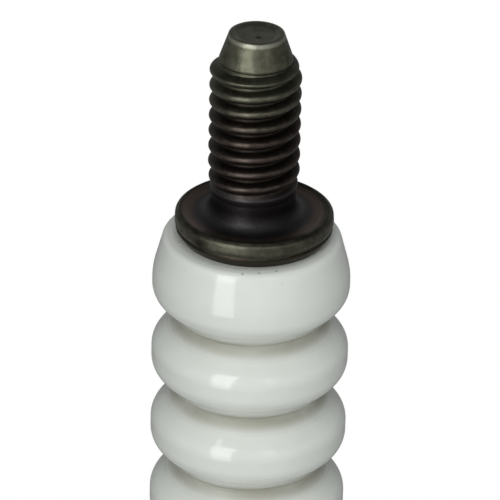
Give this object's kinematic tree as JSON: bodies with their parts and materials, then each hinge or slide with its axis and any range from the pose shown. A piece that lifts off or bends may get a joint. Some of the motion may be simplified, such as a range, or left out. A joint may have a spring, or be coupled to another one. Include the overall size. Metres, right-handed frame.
{
  "type": "spark plug",
  "caption": "Spark plug with a ribbed porcelain insulator, a bare threaded terminal stud with a flange, a hexagon steel shell, a captive gasket and a side electrode.",
  "frame": {"origin": "on the plug's axis, in the plane of the shell's seat, where the gasket bears", "axes": "+Z along the plug's axis towards the terminal stud; +X from the axis towards the side electrode's weld"},
  "size_m": [0.0184, 0.016, 0.0686],
  "materials": {
    "terminal_steel": "heat-darkened nickel plate, mottled, half gloss",
    "porcelain": "clear gloss glaze on pale grey-white alumina porcelain",
    "seal_glass": "fused conductive glass, dark",
    "resistor_carbon": "fused carbon and glass, matt black",
    "electrode_nickel": "drawn nickel alloy, satin",
    "core_copper": "copper",
    "shell_steel": "nickel plate, satin",
    "gasket_steel": "zinc plate, satin",
    "packing_steel": "plain steel",
    "talc": "packed powder, matt"
  },
  "bodies": {
    "plug": {"terminal_stud": "terminal_steel", "insulator": "porcelain", "upper_glass_seal": "seal_glass", "resistor": "resistor_carbon", "lower_glass_seal": "seal_glass", "center_electrode": "electrode_nickel", "electrode_copper_core": "core_copper", "shell": "shell_steel", "ground_electrode": "electrode_nickel", "packing_washer": "packing_steel", "talc_ring": "talc", "upper_wire_ring": "packing_steel", "lower_wire_ring": "packing_steel"},
    "gasket": {"seat_gasket": "gasket_steel"}
  },
  "joints": [
    {"name": "gasket_slide", "type": "slide", "parent": "plug", "child": "gasket", "axis": [0, 0, 1], "range_m": [0, 0.0005]}
  ]
}
